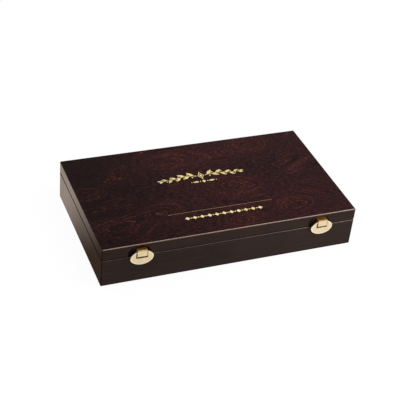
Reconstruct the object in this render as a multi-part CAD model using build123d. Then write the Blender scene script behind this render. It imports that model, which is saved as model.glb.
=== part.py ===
from build123d import *
import math
import os

# A hinged hardwood case that holds 76 colour pencils in two trays, shown closed.
# X runs to the right, Y to the back and Z up. The origin is the middle of the underside,
# on the table. All lengths are in millimetres and all angles in degrees.

# Case
case_width = 400.0
case_depth = 228.0
lid_height = 19.4
seam_gap = 0.4
wall = 9.0
top_panel_thickness = 5.0
bottom_panel_thickness = 4.5
bottom_rebate = 4.0
panel_clearance = 0.1
corner_radius = 1.5
top_edge_radius = 1.8
seam_bevel = 1.0

# Pencils
pencil_length = 175.0
pencil_across_flats = 7.6
lead_radius = 1.9
lead_tip_radius = 0.35
sharpening_angle = 11.0
sharpening_margin = 0.2
end_cap_length = 1.0

# Trays
tray_height = 20.0
trays_below_edge = 0.7
tray_clearance = 0.5
tray_rim = 3.0
tray_corner_radius = 2.0
pencil_rim_clearance = 0.7
pencil_gap = 1.8
groove_clearance = 0.3
groove_end_clearance = 1.25
groove_contact_gap = 0.05
trough_width = 20.0
trough_depth = 9.0
tray_web = 2.4
tray_ribs_per_side = 2

# Ribbons that lift the upper tray
ribbon_width = 12.0
ribbon_thickness = 0.8
ribbon_reach = 48.0
ribbon_clearance = 0.1
ribbon_below_rim = 0.7

# Lid lining
lining_clearance = 0.4
lining_above_seam = 0.8

# Hinges
hinge_x = 110.0
hinge_length = 40.0
knuckle_count = 5
knuckle_gap = 0.3
barrel_radius = 2.5
barrel_clearance = 0.35
hinge_pin_radius = 1.25
hinge_bore_clearance = 0.05
leaf_thickness = 1.4
leaf_depth = 7.5
leaf_screw_count = 3
leaf_screw_spacing = 13.0
lid_opening_angle = 100.0
stop_heel_length = 4.5
stop_heel_clearance = 0.1

# Countersunk wood screws of the hinges
screw_length = 11.0
screw_shank_radius = 1.1
screw_head_radius = 2.3
screw_head_height = 1.2
screw_tip_length = 2.5
screw_slot_width = 0.6
screw_slot_depth = 0.6

# Clasps: heights from the middle of the seam, and stand-offs from the front face
clasp_x = 142.0
oval_width = 35.0
oval_height = 24.8
oval_centre_up = 0.1
oval_front = 6.0
oval_thickness = 1.0
oval_edge_bevel = 0.4
notch_width = 17.2
notch_bottom_up = -0.5
notch_corner_radius = 0.8
lug_gap = 18.0
lug_thickness = 1.0
lug_boss_radius = 1.5
lug_tail_bottom_up = -9.2
lug_tail_height = 2.0
lug_tail_clearance = 0.05
pivot_up = -3.9
pivot_standoff = 2.9
clasp_pin_radius = 0.8
clasp_bore_clearance = 0.05
pivot_head_radius = 1.25
pivot_head_height = 0.6
hook_pin_up = 5.4
hook_pin_standoff = 3.5

# Base plate of a clasp
plate_thickness = 1.0
plate_bottom_up = -9.9
plate_top_up = -2.2
ear_clearance = 0.2
ear_radius = 1.3

# Keeper on the lid
keeper_width = 14.8
keeper_leaf_thickness = 0.8
keeper_bottom_up = 2.2
keeper_top_up = 13.0
keeper_strip_thickness = 1.0
tongue_front = 6.8
tongue_thickness = 1.2
tongue_bottom_up = 2.7
tongue_bend_radius = 1.1
barb_tip_standoff = 3.3
barb_tip_bottom_up = 3.8
barb_tip_top_up = 4.2
barb_root_top_up = 4.4

# Clasp spring
spring_wire = 0.4
spring_turns = 13
spring_bore_clearance = 0.15
spring_upper_leg_up = -1.6
spring_lower_leg_up = -7.8
spring_leg_radius = 0.17
spring_leg_gap = 0.05

# Round nails of the clasps
nail_length = 7.0
nail_shank_radius = 0.55
nail_head_radius = 1.1
nail_head_height = 0.35
nail_dome_radius = 0.28
nail_tip_length = 1.2
plate_nail_x = 5.6
plate_nail_low_up = -8.0
plate_nail_high_up = -3.6
keeper_nail_x = 4.6
keeper_nail_up = 9.1

# How far a cutting shape runs past the face that it opens
cut_margin = 1.0

# Worked out from the sizes above
front_y = -case_depth / 2
back_y = case_depth / 2
right_x = case_width / 2
inner_x = right_x - wall
inner_y = back_y - wall
base_height = bottom_panel_thickness + 2 * tray_height + trays_below_edge
lid_bottom = base_height + seam_gap
seam_z = base_height + seam_gap / 2
case_height = lid_bottom + lid_height
panel_bottom = case_height - top_panel_thickness
tray_x = inner_x - tray_clearance
tray_y = inner_y - tray_clearance
well_x = tray_x - tray_rim
well_y = tray_y - tray_rim
pencil_corner_radius = pencil_across_flats / math.sqrt(3)
pencils_per_column = int(2 * well_y / (2 * pencil_corner_radius + pencil_gap))
groove_pitch = 2 * well_y / pencils_per_column
groove_radius = pencil_corner_radius + groove_clearance
hinge_axis_y = back_y + barrel_clearance + barrel_radius
screw_row_y = back_y - leaf_depth / 2
plate_half_width = lug_gap / 2 - ear_clearance
oval_back = oval_front - oval_thickness
pivot_z = seam_z + pivot_up
sides = {"left": -1, "right": 1}


def block(x_range, y_range, z_range):
    """A box from its lowest and highest place along each axis."""
    low, high = zip(x_range, y_range, z_range)
    size = [b - a for a, b in zip(low, high)]
    centre = [(a + b) / 2 for a, b in zip(low, high)]
    return Pos(*centre) * Box(*size)


def prism(points, z_range):
    """A plan outline pulled up from the lower to the upper height."""
    outline = Plane.XY.offset(z_range[0]) * Polygon(*points, align=None)
    return extrude(outline, z_range[1] - z_range[0])


def flat_area(across, up):
    """A rectangle from its lowest and highest place in each direction."""
    centre = Pos(sum(across) / 2, sum(up) / 2)
    return centre * Rectangle(across[1] - across[0], up[1] - up[0])


def rod_x(radius, length, centre):
    """A round rod along X."""
    return Pos(*centre) * Cylinder(radius, length, rotation=(0, 90, 0))


def front_profile(outline, x_centre, width):
    """Pulls a side outline, drawn as stand-off from the front face and height, along X."""
    start = Plane(origin=(x_centre + width / 2, front_y, seam_z), x_dir=(0, -1, 0), z_dir=(-1, 0, 0))
    return extrude(start * outline, width)


def hinge_profile(outline, x_range):
    """Pulls a side outline, drawn from the hinge axis to the back and up, along X."""
    start = Plane(origin=(x_range[0], hinge_axis_y, seam_z), x_dir=(0, 1, 0), z_dir=(1, 0, 0))
    return extrude(start * outline, x_range[1] - x_range[0])


def outside_block(z_range):
    """The case's full plan with its rounded upright corners."""
    body = block((-right_x, right_x), (front_y, back_y), z_range)
    return fillet(body.edges().filter_by(Axis.Z), corner_radius)


def split_at_mitres(ring, z_range):
    """Cuts a four-sided ring into its walls along the corners' 45 degree lines."""
    reach = 2 * wall
    low_x, high_x = -right_x, right_x
    low_y, high_y = front_y, back_y
    outer = [(low_x, low_y), (high_x, low_y), (high_x, high_y), (low_x, high_y)]
    inner = [
        (low_x + reach, low_y + reach),
        (high_x - reach, low_y + reach),
        (high_x - reach, high_y - reach),
        (low_x + reach, high_y - reach),
    ]
    walls = {}
    for index, name in enumerate(("front", "right", "back", "left")):
        after = (index + 1) % len(outer)
        wedge = prism([outer[index], outer[after], inner[after], inner[index]], z_range)
        walls[name] = ring & wedge
    return walls


def knuckle_spans(x_centre):
    """The X range of each knuckle of a hinge, from left to right."""
    pitch = hinge_length / knuckle_count
    start = x_centre - hinge_length / 2
    spans = []
    for index in range(knuckle_count):
        left = start + index * pitch + knuckle_gap / 2
        spans.append((left, left + pitch - knuckle_gap))
    return spans


def screw_places(x_centre):
    """Where the screws of a leaf stand along X."""
    middle = (leaf_screw_count - 1) / 2
    return [x_centre + (index - middle) * leaf_screw_spacing for index in range(leaf_screw_count)]


def screw_body():
    """A countersunk screw pointing down, with its head's flat face at height 0."""
    outline = Polyline(
        (0, 0),
        (screw_head_radius, 0),
        (screw_shank_radius, -screw_head_height),
        (screw_shank_radius, -screw_length + screw_tip_length),
        (0, -screw_length),
        close=True,
    )
    return revolve(make_face(Plane.XZ * outline), Axis.Z)


def screws(x_centre, z_head, points_up, slotted):
    """The screws of one hinge leaf, with or without their driver slots."""
    made = []
    for x in screw_places(x_centre):
        screw = screw_body()
        if slotted:
            slot = Box(2 * screw_head_radius, screw_slot_width, 2 * screw_slot_depth)
            screw = screw - slot
        turn = 180 if points_up else 0
        made.append(Pos(x, screw_row_y, z_head) * Rot(turn, 0, 0) * screw)
    return made


def hinge_leaf(x_centre, on_lid):
    """One brass leaf with its share of the knuckles, drilled and countersunk."""
    half_gap = seam_gap / 2
    low, high = half_gap, half_gap + leaf_thickness
    if not on_lid:
        low, high = -high, -low
    ends = (x_centre - hinge_length / 2, x_centre + hinge_length / 2)
    rear_face = -barrel_radius - barrel_clearance
    leaf = hinge_profile(flat_area((rear_face - leaf_depth, rear_face), (low, high)), ends)
    root_outline = flat_area((rear_face, 0), (low, high))
    for index, span in enumerate(knuckle_spans(x_centre)):
        if (index % 2 == 1) != on_lid:
            continue
        leaf += hinge_profile(Circle(barrel_radius), span)
        leaf += hinge_profile(root_outline, span)
        if on_lid:
            leaf += hinge_profile(stop_heel_outline(), span)
    bore = hinge_pin_radius + hinge_bore_clearance if on_lid else hinge_pin_radius
    leaf -= rod_x(bore, 2 * hinge_length, (x_centre, hinge_axis_y, seam_z))
    z_head = lid_bottom if on_lid else base_height
    return leaf - screws(x_centre, z_head, on_lid, False)


def stop_heel_outline():
    """The heel that meets the rear face of the base when the lid is fully open."""
    angle = math.radians(lid_opening_angle)
    depth = barrel_radius + barrel_clearance - stop_heel_clearance
    towards_stop = (-math.cos(angle), -math.sin(angle))
    along_stop = (math.sin(angle), -math.cos(angle))
    near = tuple(depth * part for part in towards_stop)
    far = tuple(a + stop_heel_length * b for a, b in zip(near, along_stop))
    end = tuple(stop_heel_length * part for part in along_stop)
    return Polygon((0, 0), near, far, end, align=None)


def hinge_pin(x_centre):
    """The pin fills the base knuckles, and the lid's knuckles turn on it."""
    return rod_x(hinge_pin_radius, hinge_length - knuckle_gap, (x_centre, hinge_axis_y, seam_z))


def hinge_mortise(x_centre, on_lid):
    """The recess of a leaf in the edge of a rear wall."""
    z_range = (base_height - leaf_thickness, seam_z)
    if on_lid:
        z_range = (seam_z, lid_bottom + leaf_thickness)
    half = hinge_length / 2
    return block((x_centre - half, x_centre + half), (back_y - leaf_depth, back_y + wall), z_range)


def nail():
    """A round nail pointing down, with the underside of its low dome at height 0."""
    head = Pos(0, 0, nail_head_height / 2) * Cylinder(nail_head_radius, nail_head_height)
    head = fillet(head.edges().sort_by(Axis.Z)[-1], nail_dome_radius)
    outline = Polyline(
        (0, 0),
        (nail_shank_radius, 0),
        (nail_shank_radius, -nail_length + nail_tip_length),
        (0, -nail_length),
        close=True,
    )
    return head + revolve(make_face(Plane.XZ * outline), Axis.Z)


def front_nails(places, standoff):
    """Nails driven backwards into the front of the case."""
    return [Pos(x, front_y - standoff, seam_z + up) * Rot(90, 0, 0) * nail() for x, up in places]


def plate_nail_places(x_centre):
    """Four nails: a low and a high one on each side of the spring."""
    return [
        (x_centre + side * plate_nail_x, up)
        for side in sides.values()
        for up in (plate_nail_low_up, plate_nail_high_up)
    ]


def keeper_nail_places(x_centre):
    """Two nails side by side behind the tongue."""
    return [(x_centre + side * keeper_nail_x, keeper_nail_up) for side in sides.values()]


def base_plate(x_centre):
    """The plate on the base, with an ear at each side that holds the pivot pin."""
    flat = flat_area((0, plate_thickness), (plate_bottom_up, plate_top_up))
    plate = front_profile(flat, x_centre, 2 * plate_half_width)
    arm = flat_area((0, pivot_standoff), (pivot_up - ear_radius, pivot_up + ear_radius))
    ear_outline = arm + Pos(pivot_standoff, pivot_up) * Circle(ear_radius)
    for side in sides.values():
        ear_x = x_centre + side * (plate_half_width - lug_thickness / 2)
        plate += front_profile(ear_outline, ear_x, lug_thickness)
    plate -= pivot_rod(x_centre, clasp_pin_radius)
    return plate - front_nails(plate_nail_places(x_centre), plate_thickness)


def pivot_rod(x_centre, radius):
    """A rod through the pivot, longer than the pin, to cut its bores with."""
    return rod_x(radius, oval_width, (x_centre, front_y - pivot_standoff, pivot_z))


def pivot_pin(x_centre):
    """The pivot pin with a riveted head outside each lug."""
    inside = lug_gap / 2 + lug_thickness + ear_clearance / 2
    centre = (x_centre, front_y - pivot_standoff, pivot_z)
    pin = rod_x(clasp_pin_radius, 2 * inside, centre)
    for side in sides.values():
        head_x = x_centre + side * (inside + pivot_head_height / 2)
        pin += rod_x(pivot_head_radius, pivot_head_height, (head_x, *centre[1:]))
    return pin


def lug_outline():
    """A lug's side shape behind the oval: hook pin at the top, pivot, and a tail at the bottom.

    The tail rests on the base's front face and stops the lever there when the clasp is shut.
    """
    low = lug_tail_bottom_up
    high = hook_pin_up + lug_boss_radius
    hook = Pos(hook_pin_standoff, hook_pin_up) * Circle(lug_boss_radius)
    pivot = Pos(pivot_standoff, pivot_up) * Circle(lug_boss_radius)
    web = flat_area((hook_pin_standoff - lug_boss_radius, oval_back), (pivot_up, hook_pin_up))
    foot = flat_area((pivot_standoff, oval_back), (low, high))
    tail = flat_area((lug_tail_clearance, oval_back), (low, low + lug_tail_height))
    beyond_back = flat_area((oval_back, oval_back + lug_boss_radius), (low, high))
    return hook + pivot + web + foot + tail - beyond_back


def oval_lever(x_centre):
    """The notched oval plate with two lugs cast on its back."""
    back_centre = (x_centre, front_y - oval_back, seam_z + oval_centre_up)
    face = Plane(origin=back_centre, x_dir=(1, 0, 0), z_dir=(0, -1, 0))
    outline = Ellipse(oval_width / 2, oval_height / 2)
    notch_bottom = notch_bottom_up - oval_centre_up
    notch = Pos(0, notch_bottom + oval_height / 2) * Rectangle(notch_width, oval_height)
    outline -= fillet(notch.vertices().group_by(Axis.Y)[0], notch_corner_radius)
    plate = extrude(face * outline, oval_thickness)
    front_edges = plate.faces().sort_by(Axis.Y)[0].edges()
    plate = chamfer(front_edges, oval_edge_bevel)
    for side in sides.values():
        lug_x = x_centre + side * (lug_gap + lug_thickness) / 2
        plate += front_profile(lug_outline(), lug_x, lug_thickness)
    plate -= pivot_rod(x_centre, clasp_pin_radius + clasp_bore_clearance)
    return plate - hook_pin(x_centre)


def hook_pin(x_centre):
    """The pin that holds the keeper's barb down, fixed in the lugs."""
    length = lug_gap + 2 * lug_thickness
    centre = (x_centre, front_y - hook_pin_standoff, seam_z + hook_pin_up)
    return rod_x(clasp_pin_radius, length, centre)


def keeper(x_centre):
    """Leaf on the lid, strip across its top, and tongue that ends in an inward barb."""
    tongue_back = tongue_front - tongue_thickness
    outline = Polygon(
        (0, keeper_bottom_up),
        (keeper_leaf_thickness, keeper_bottom_up),
        (keeper_leaf_thickness, keeper_top_up - keeper_strip_thickness),
        (tongue_back, keeper_top_up - keeper_strip_thickness),
        (tongue_back, barb_root_top_up),
        (barb_tip_standoff, barb_tip_top_up),
        (barb_tip_standoff, barb_tip_bottom_up),
        (tongue_back - tongue_thickness, tongue_bottom_up),
        (tongue_front, tongue_bottom_up),
        (tongue_front, keeper_top_up),
        (0, keeper_top_up),
        align=None,
    )
    made = front_profile(outline, x_centre, keeper_width)
    along = made.edges().filter_by(Axis.X)
    bend_place = (x_centre, front_y - tongue_front, seam_z + keeper_top_up)
    top_bend = along.sort_by_distance(bend_place)[0]
    made = fillet(top_bend, tongue_bend_radius)
    return made - front_nails(keeper_nail_places(x_centre), keeper_leaf_thickness)


def clasp_spring(x_centre):
    """A close-wound torsion spring on the pivot pin, with a leg up and a leg down."""
    wire = spring_wire / 2
    middle = clasp_pin_radius + spring_bore_clearance + wire
    half = spring_turns * wire
    coil = Pos(x_centre, front_y - pivot_standoff, pivot_z) * spring_coil()
    oval_side = front_y - oval_back + spring_leg_radius + spring_leg_gap
    plate_side = front_y - plate_thickness - spring_leg_radius - spring_leg_gap
    upper = wire_leg(
        x_centre + half - wire,
        (front_y - pivot_standoff - middle, pivot_z),
        (oval_side, seam_z + spring_upper_leg_up),
    )
    lower = wire_leg(
        x_centre - half + wire,
        (front_y - pivot_standoff + middle, pivot_z),
        (plate_side, seam_z + spring_lower_leg_up),
    )
    return coil + upper + lower


def spring_coil():
    """The turns of the spring as one ridged sleeve about X."""
    wire = spring_wire / 2
    inner = clasp_pin_radius + spring_bore_clearance
    half = spring_turns * wire
    shoulder = inner + wire + wire / 2
    crest = inner + 2 * wire
    ridges = []
    for turn in range(spring_turns):
        start = half - turn * spring_wire
        end = start - spring_wire
        ridges.append(ThreePointArc((start, shoulder), (start - wire, crest), (end, shoulder)))
    sleeve = Polyline((-half, shoulder), (-half, inner), (half, inner), (half, shoulder))
    return revolve(make_face([sleeve, *ridges]), Axis.X)


def wire_leg(x, start, end):
    """A straight piece of spring wire in a plane square to X."""
    first = Vector(x, *start)
    last = Vector(x, *end)
    along = last - first
    middle = (first + last) * 0.5
    place = Plane(origin=middle, z_dir=along)
    return place * Cylinder(spring_leg_radius, along.length)


def tray(z_low):
    """A moulded tray with two columns of round grooves and a finger trough between them."""
    z_high = z_low + tray_height
    land = z_high - tray_well_depth()
    body = block((-tray_x, tray_x), (-tray_y, tray_y), (z_low, z_high))
    body = fillet(body.edges().filter_by(Axis.Z), tray_corner_radius)
    cuts = [block((-well_x, well_x), (-well_y, well_y), (land, z_high + cut_margin))]
    cuts.append(
        block(
            (-trough_width / 2, trough_width / 2),
            (-well_y, well_y),
            (land - trough_depth, land + cut_margin),
        )
    )
    for y in groove_rows():
        cuts.append(rod_x(groove_radius, 2 * well_x, (0, y, land)))
    cuts += underside_pockets(z_low, land - groove_radius - tray_web)
    return body - cuts


def tray_well_depth():
    """How far the ridges between the grooves lie below the tray's rim."""
    return pencil_axis_above_land() + pencil_across_flats / 2 + pencil_rim_clearance


def pencil_axis_above_land():
    """The pencil's axis above the ridges, once its lower corners rest in the groove."""
    half_flat = pencil_across_flats / 2
    half_side = pencil_corner_radius / 2
    reach = math.sqrt((groove_radius - groove_contact_gap) ** 2 - half_side**2)
    return half_flat - reach


def groove_rows():
    """The Y of each groove, from front to back."""
    first = -well_y + groove_pitch / 2
    return [first + index * groove_pitch for index in range(pencils_per_column)]


def underside_pockets(z_low, z_high):
    """The hollows under the grooves, with ribs between them."""
    inner = trough_width / 2 + tray_rim
    count = tray_ribs_per_side + 1
    length = (well_x - inner - tray_ribs_per_side * tray_web) / count
    pockets = []
    for side in sides.values():
        for index in range(count):
            near = inner + index * (length + tray_web)
            x_range = sorted((side * near, side * (near + length)))
            pockets.append(block(x_range, (-well_y, well_y), (z_low - cut_margin, z_high)))
    return pockets


def ribbon(z_low, side):
    """A ribbon glued inside one end of the trough, with its free length on the trough's floor."""
    z_high = z_low + tray_height
    floor = z_high - tray_well_depth() - trough_depth + ribbon_clearance
    end = well_y - ribbon_clearance
    half = ribbon_width / 2
    upright_y = sorted((side * (end - ribbon_thickness), side * end))
    flat_y = sorted((side * (end - ribbon_reach), side * end))
    upright = block((-half, half), upright_y, (floor, z_high - ribbon_below_rim))
    return upright + block((-half, half), flat_y, (floor, floor + ribbon_thickness))


def sharpened_envelope():
    """The cone of the sharpened end and the round space of the rest, from the tip along X."""
    slope = math.tan(math.radians(sharpening_angle))
    full_radius = pencil_corner_radius + sharpening_margin
    cone_length = (full_radius - lead_tip_radius) / slope
    outline = Polyline(
        (0, 0),
        (0, lead_tip_radius),
        (cone_length, full_radius),
        (pencil_length, full_radius),
        (pencil_length, 0),
        close=True,
    )
    return revolve(make_face(outline), Axis.X)


def pencil_casing():
    """A hexagonal wooden casing with two flats level, tip at the origin, along X."""
    section = RegularPolygon(pencil_across_flats / 2, 6, major_radius=False)
    start = Plane(origin=(0, 0, 0), x_dir=(0, 1, 0), z_dir=(1, 0, 0))
    blank = extrude(start * section, pencil_length)
    return (blank & sharpened_envelope()) - lead_rod()


def lead_rod():
    """The round space of the lead, closed by the dipped cap at the far end."""
    length = pencil_length - end_cap_length
    return rod_x(lead_radius, length, (length / 2, 0, 0))


def pencil_lead():
    """The lead with its sharpened tip."""
    return lead_rod() & sharpened_envelope()


def pencil_places(z_low, side):
    """The tip of each pencil in one column of a tray."""
    z = z_low + tray_height - tray_well_depth() + pencil_axis_above_land()
    column_start = -well_x if side < 0 else trough_width / 2
    return [Pos(column_start + groove_end_clearance, y, z) for y in groove_rows()]


def lid_lining():
    """The padded lining that fills the lid from the top panel down to just above the seam."""
    x = inner_x - lining_clearance
    y = inner_y - lining_clearance
    return block((-x, x), (-y, y), (lid_bottom + lining_above_seam, panel_bottom - lining_clearance))


def base_walls():
    """The four walls of the base, with the rebate of the bottom panel and the upper bevel."""
    z_range = (0, base_height)
    ring = outside_block(z_range)
    ring = chamfer(ring.faces().sort_by(Axis.Z)[-1].edges(), seam_bevel)
    ring -= block((-inner_x, inner_x), (-inner_y, inner_y), (-cut_margin, case_height))
    deep_x = inner_x + bottom_rebate
    deep_y = inner_y + bottom_rebate
    ring -= block((-deep_x, deep_x), (-deep_y, deep_y), (-cut_margin, bottom_panel_thickness))
    return split_at_mitres(ring, z_range)


def lid_walls():
    """The four walls of the lid, with the lower bevel."""
    z_range = (lid_bottom, panel_bottom)
    ring = outside_block(z_range)
    ring = chamfer(ring.faces().sort_by(Axis.Z)[0].edges(), seam_bevel)
    ring -= block((-inner_x, inner_x), (-inner_y, inner_y), (0, case_height))
    return split_at_mitres(ring, z_range)


def top_panel():
    """The veneered panel over the lid walls, with its rounded upper edge."""
    panel = outside_block((panel_bottom, case_height))
    return fillet(panel.faces().sort_by(Axis.Z)[-1].edges(), top_edge_radius)


def bottom_panel():
    """The panel in the rebate under the base."""
    x = inner_x + bottom_rebate - panel_clearance
    y = inner_y + bottom_rebate - panel_clearance
    return block((-x, x), (-y, y), (0, bottom_panel_thickness))


def save(name, shapes):
    """Writes one node, which may hold several separate solids."""
    solids = shapes if isinstance(shapes, list) else [shapes]
    export_step(Compound(solids), f"parts/{name}.step")


def save_case():
    """The wooden case, its walls cut for the hinges and drilled for screws and nails."""
    base = base_walls()
    lid = lid_walls()
    for side in sides.values():
        hinge = side * hinge_x
        clasp = side * clasp_x
        base["back"] -= hinge_mortise(hinge, False)
        base["back"] -= screws(hinge, base_height, False, False)
        lid["back"] -= hinge_mortise(hinge, True)
        lid["back"] -= screws(hinge, lid_bottom, True, False)
        base["front"] -= front_nails(plate_nail_places(clasp), plate_thickness)
        lid["front"] -= front_nails(keeper_nail_places(clasp), keeper_leaf_thickness)
    for name in base:
        save(f"base_{name}_wall", base[name])
        save(f"lid_{name}_wall", lid[name])
    save("base_bottom_panel", bottom_panel())
    save("lid_top_panel", top_panel())
    save("lid_lining", lid_lining())


def save_hinge(name, side):
    """One hinge with its pin and screws."""
    x = side * hinge_x
    save(f"hinge_{name}_base_leaf", hinge_leaf(x, False))
    save(f"hinge_{name}_lid_leaf", hinge_leaf(x, True))
    save(f"hinge_{name}_pin", hinge_pin(x))
    save(f"hinge_{name}_base_screws", screws(x, base_height, False, True))
    save(f"hinge_{name}_lid_screws", screws(x, lid_bottom, True, True))


def save_clasp(name, side):
    """One clasp, from its base plate to the keeper on the lid."""
    x = side * clasp_x
    save(f"clasp_{name}_base_plate", base_plate(x))
    save(f"clasp_{name}_plate_nails", front_nails(plate_nail_places(x), plate_thickness))
    save(f"clasp_{name}_pivot_pin", pivot_pin(x))
    save(f"clasp_{name}_oval_lever", oval_lever(x))
    save(f"clasp_{name}_hook_pin", hook_pin(x))
    save(f"clasp_{name}_spring", clasp_spring(x))
    save(f"clasp_{name}_keeper", keeper(x))
    save(f"clasp_{name}_keeper_nails", front_nails(keeper_nail_places(x), keeper_leaf_thickness))


def save_tray(level, z_low):
    """One tray with the pencils of its two columns."""
    save(f"{level}_tray", tray(z_low))
    casing = pencil_casing()
    lead = pencil_lead()
    for name, side in sides.items():
        places = pencil_places(z_low, side)
        save(f"{level}_{name}_pencil_casings", [place * casing for place in places])
        save(f"{level}_{name}_pencil_leads", [place * lead for place in places])


os.makedirs("parts", exist_ok=True)
save_case()
for side_name, side_sign in sides.items():
    save_hinge(side_name, side_sign)
    save_clasp(side_name, side_sign)
save_tray("lower", bottom_panel_thickness)
upper_floor = bottom_panel_thickness + tray_height
save_tray("upper", upper_floor)
save("lift_ribbon_front", ribbon(upper_floor, -1))
save("lift_ribbon_back", ribbon(upper_floor, 1))
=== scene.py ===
import math

import bmesh
import bpy
from mathutils import Matrix, Vector


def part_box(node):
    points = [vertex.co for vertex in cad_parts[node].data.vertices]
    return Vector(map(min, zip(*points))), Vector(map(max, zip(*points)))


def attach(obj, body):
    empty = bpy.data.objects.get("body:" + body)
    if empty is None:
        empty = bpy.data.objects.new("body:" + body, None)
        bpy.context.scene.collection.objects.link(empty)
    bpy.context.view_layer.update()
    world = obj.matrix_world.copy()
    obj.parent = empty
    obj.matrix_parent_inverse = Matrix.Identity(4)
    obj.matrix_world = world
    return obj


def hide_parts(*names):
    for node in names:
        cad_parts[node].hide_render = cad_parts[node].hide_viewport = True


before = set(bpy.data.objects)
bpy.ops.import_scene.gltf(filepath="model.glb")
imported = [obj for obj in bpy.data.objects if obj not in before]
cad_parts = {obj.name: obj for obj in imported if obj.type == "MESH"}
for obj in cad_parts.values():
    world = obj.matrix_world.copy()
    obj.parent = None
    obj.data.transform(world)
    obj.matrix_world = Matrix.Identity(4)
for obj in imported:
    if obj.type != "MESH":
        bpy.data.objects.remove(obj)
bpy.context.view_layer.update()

MM = 0.001
X, Y, Z = range(3)
SIDES = ("left", "right")
LEVELS = ("upper", "lower")


class Graph:
    """A node material, with short ways to add nodes to it."""

    # The Mix node's sockets for colours, after those for other kinds of value
    FIRST_COLOUR, SECOND_COLOUR, MIXED_COLOUR = 6, 7, 2

    def __init__(self, name):
        self.material = bpy.data.materials.new(name)
        self.material.use_nodes = True
        self.tree = self.material.node_tree
        self.tree.nodes.clear()
        self.shader = self.add("ShaderNodeBsdfPrincipled")
        surface = self.shader.outputs["BSDF"]
        self.output = self.add("ShaderNodeOutputMaterial", {"Surface": surface})

    @classmethod
    def around(cls, tree):
        """Takes over a tree that has no surface shader, such as the world's."""
        graph = cls.__new__(cls)
        graph.tree = tree
        tree.nodes.clear()
        return graph

    def add(self, kind, inputs=None, **settings):
        """Adds a node; each input is a number, a colour or another node's output."""
        node = self.tree.nodes.new(kind)
        for name, value in settings.items():
            setattr(node, name, value)
        for name, value in (inputs or {}).items():
            self.put(node.inputs[name], value)
        return node

    def put(self, socket, value):
        """Links an output to a socket, or sets the socket's own value."""
        if isinstance(value, bpy.types.NodeSocket):
            self.tree.links.new(value, socket)
        else:
            socket.default_value = value

    def set(self, **values):
        """Sets the shader's sockets, with underscores for the spaces in their names."""
        for name, value in values.items():
            self.put(self.shader.inputs[name.replace("_", " ")], value)

    def place(self):
        """The point's place in the frame, in metres."""
        return self.add("ShaderNodeTexCoord").outputs["Object"]

    def facing(self):
        """The direction that the surface faces, in the frame."""
        return self.add("ShaderNodeTexCoord").outputs["Normal"]

    def vectors(self, operation, *inputs, output=0):
        """One step of vector arithmetic, as a vector or, in some steps, as a value."""
        node = self.add("ShaderNodeVectorMath", dict(enumerate(inputs)), operation=operation)
        return node.outputs[output]

    def scaled(self, vector, scale):
        """A vector with each axis stretched by its own factor."""
        return self.vectors("MULTIPLY", vector, scale)

    def noise(self, vector, scale=1.0, detail=2.0, roughness=0.5, distortion=0.0):
        """Soft noise from 0 to 1."""
        inputs = {"Vector": vector, "Scale": scale, "Detail": detail}
        inputs |= {"Roughness": roughness, "Distortion": distortion}
        return self.add("ShaderNodeTexNoise", inputs).outputs["Fac"]

    def math(self, operation, first, second=0.0, clamp=False):
        """One arithmetic step."""
        node = self.add("ShaderNodeMath", {0: first, 1: second}, operation=operation)
        node.use_clamp = clamp
        return node.outputs[0]

    def times(self, first, *others):
        """The product of two or more values."""
        for other in others:
            first = self.math("MULTIPLY", first, other)
        return first

    def fade(self, value, start=0.3, end=0.7, low=0.0, high=1.0, course="SMOOTHSTEP"):
        """Goes from low to high as value goes from start to end, which suit noise by default."""
        inputs = {"Value": value, "From Min": start, "From Max": end, "To Min": low, "To Max": high}
        return self.add("ShaderNodeMapRange", inputs, interpolation_type=course).outputs["Result"]

    def mix(self, factor, first, second):
        """A colour between two colours."""
        node = self.add("ShaderNodeMix", data_type="RGBA")
        self.put(node.inputs["Factor"], factor)
        self.put(node.inputs[self.FIRST_COLOUR], first)
        self.put(node.inputs[self.SECOND_COLOUR], second)
        return node.outputs[self.MIXED_COLOUR]

    def bump(self, height, distance, strength=1.0):
        """A normal from a height, where distance is the height of 1 in metres."""
        inputs = {"Height": height, "Distance": distance, "Strength": strength}
        return self.add("ShaderNodeBump", inputs).outputs["Normal"]

    def axis(self, vector, index):
        """One coordinate of a vector."""
        return self.add("ShaderNodeSeparateXYZ", {"Vector": vector}).outputs[index]


def rgb(red, green, blue):
    """A linear colour with full opacity."""
    return (red, green, blue, 1.0)


# Lacquer: how strongly it mirrors, the warmth of what it mirrors, and its polished edges
LACQUER_IOR = 1.26
LACQUER_TINT = rgb(1.0, 0.76, 0.64)
EDGE_IOR = 1.6
EDGE_ROUGHNESS = 0.3

# Lacquer: its roughness where hands polished it and where they smeared it, and the height in metres
# of the fine waves that dried in it
POLISHED_ROUGHNESS = 0.13
SMEARED_ROUGHNESS = 0.21
PEEL_HEIGHT = 0.000003


def lacquer(graph, edges, seam_shade=0.0):
    """The clear satin coat over a wood: smeared by hands, glossy on edges, dull in the seam where
    shade is painted.
    """
    place = graph.place()
    smear = graph.noise(place, scale=14.0, detail=3.0)
    peel = graph.noise(place, scale=320.0)
    satin = graph.fade(smear, start=0.3, end=0.75, low=POLISHED_ROUGHNESS, high=SMEARED_ROUGHNESS)
    graph.set(
        IOR=LACQUER_IOR,
        Specular_Tint=LACQUER_TINT,
        Roughness=graph.math("MAXIMUM", satin, seam_shade),
        Normal=graph.bump(peel, distance=PEEL_HEIGHT),
        Coat_Weight=edges,
        Coat_IOR=EDGE_IOR,
        Coat_Roughness=EDGE_ROUGHNESS,
    )


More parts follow.
